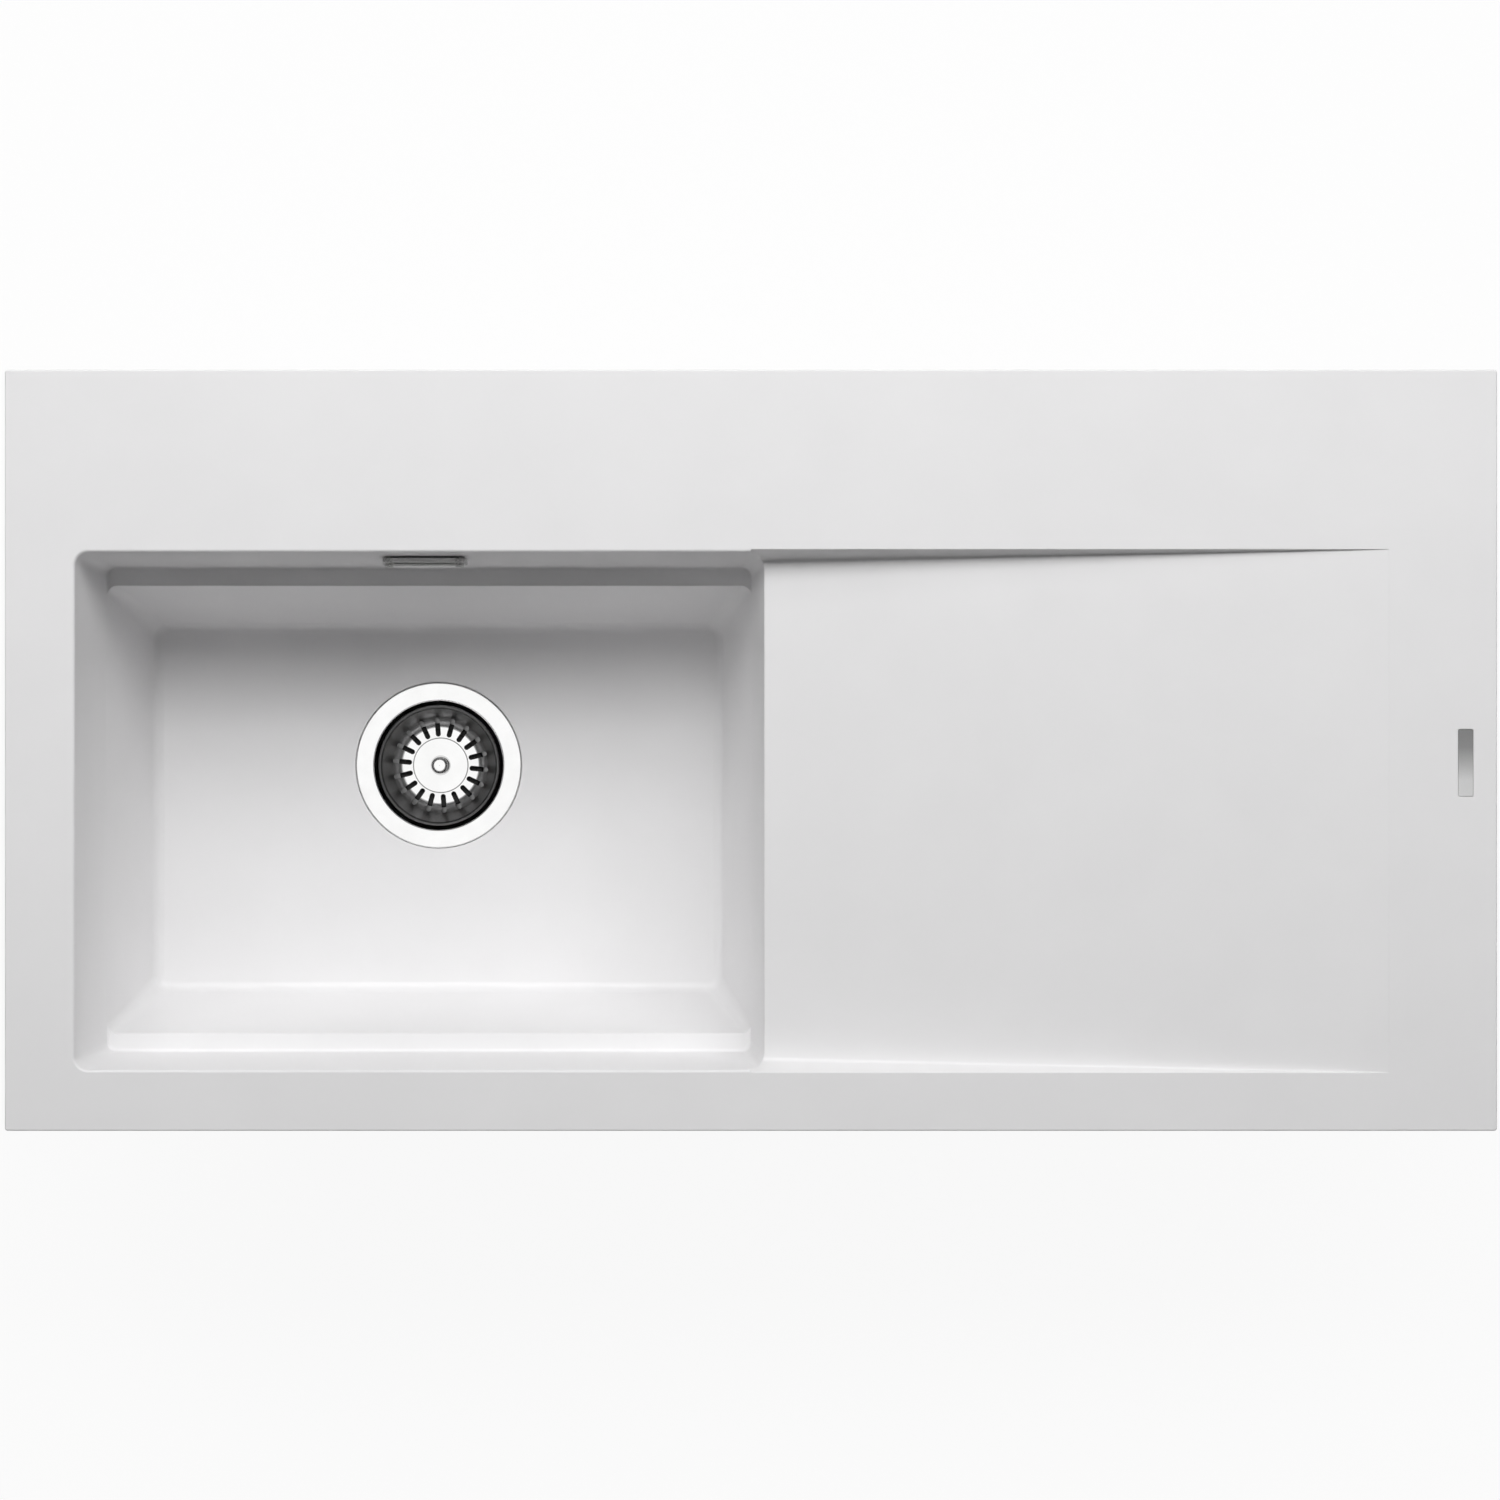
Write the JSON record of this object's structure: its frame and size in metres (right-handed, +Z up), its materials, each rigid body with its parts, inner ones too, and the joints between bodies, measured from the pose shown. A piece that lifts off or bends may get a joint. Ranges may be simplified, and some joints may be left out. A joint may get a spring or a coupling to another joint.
{
  "type": "kitchen sink",
  "caption": "Inset kitchen sink with a deep ledged bowl, a drainboard falling to it, a strainer waste with lift-out basket, an overflow and swing-out clamps.",
  "frame": {"origin": "centre of the worktop cut-out, on the worktop's top surface", "axes": "+X from the bowl end to the drainboard end, +Y towards the rear ledge, +Z up"},
  "size_m": [1, 0.51, 0.3164],
  "materials": {
    "sink_ceramic": "satin",
    "cover_white": "satin",
    "steel_polished": "polished",
    "steel_satin": "satin",
    "steel_zinc": "satin",
    "brass": "satin",
    "fitting_plastic": "satin",
    "nut_plastic": "satin",
    "hose_plastic": "satin",
    "seal_rubber": "matte",
    "seal_foam": "matte"
  },
  "bodies": {
    "root": {"sink_body": "sink_ceramic", "rim_seal": "seal_foam", "badge_plate": "steel_satin", "overflow_cover": "cover_white", "overflow_screws": "steel_satin", "overflow_gasket": "seal_rubber", "overflow_elbow": "fitting_plastic", "overflow_hose": "hose_plastic", "hose_nut_upper": "nut_plastic", "hose_nut_lower": "nut_plastic", "hose_washers": "seal_rubber", "waste_flange": "steel_polished", "flange_gasket": "seal_rubber", "waste_body": "fitting_plastic", "body_gasket": "seal_rubber", "waste_screw": "steel_satin", "waste_insert": "brass", "clamp_screws": "steel_zinc", "clamp_inserts": "brass"},
    "basket_lifter": {"basket_stem": "steel_satin", "basket_knob": "steel_polished", "basket_seal": "seal_rubber"},
    "basket": {"basket_cup": "steel_polished"},
    "claw_1": {"clamp_claw_1": "steel_zinc"},
    "claw_2": {"clamp_claw_2": "steel_zinc"},
    "claw_3": {"clamp_claw_3": "steel_zinc"},
    "claw_4": {"clamp_claw_4": "steel_zinc"},
    "claw_5": {"clamp_claw_5": "steel_zinc"},
    "claw_6": {"clamp_claw_6": "steel_zinc"},
    "claw_7": {"clamp_claw_7": "steel_zinc"},
    "claw_8": {"clamp_claw_8": "steel_zinc"}
  },
  "joints": [
    {"name": "basket_lift", "type": "slide", "parent": "root", "child": "basket_lifter", "axis": [0, 0, 1], "range_m": [0, 0.25]},
    {"name": "basket_spin", "type": "hinge", "parent": "basket_lifter", "child": "basket", "pos_m": [-0.2206, -0.0107, -0.2134], "axis": [0, 0, 1], "continuous": true},
    {"name": "claw_1_swing", "type": "hinge", "parent": "root", "child": "claw_1", "pos_m": [-0.36, 0.233, -0.052], "axis": [0, 0, 1], "range_deg": [0, 90]},
    {"name": "claw_2_swing", "type": "hinge", "parent": "root", "child": "claw_2", "pos_m": [0, 0.233, -0.052], "axis": [0, 0, 1], "range_deg": [0, 90]},
    {"name": "claw_3_swing", "type": "hinge", "parent": "root", "child": "claw_3", "pos_m": [0.36, 0.233, -0.052], "axis": [0, 0, 1], "range_deg": [0, 90]},
    {"name": "claw_4_swing", "type": "hinge", "parent": "root", "child": "claw_4", "pos_m": [-0.36, -0.233, -0.052], "axis": [0, 0, 1], "range_deg": [0, 90]},
    {"name": "claw_5_swing", "type": "hinge", "parent": "root", "child": "claw_5", "pos_m": [0, -0.233, -0.052], "axis": [0, 0, 1], "range_deg": [0, 90]},
    {"name": "claw_6_swing", "type": "hinge", "parent": "root", "child": "claw_6", "pos_m": [0.36, -0.233, -0.052], "axis": [0, 0, 1], "range_deg": [0, 90]},
    {"name": "claw_7_swing", "type": "hinge", "parent": "root", "child": "claw_7", "pos_m": [-0.478, 0, -0.052], "axis": [0, 0, 1], "range_deg": [0, 90]},
    {"name": "claw_8_swing", "type": "hinge", "parent": "root", "child": "claw_8", "pos_m": [0.478, 0, -0.052], "axis": [0, 0, 1], "range_deg": [0, 90]}
  ]
}
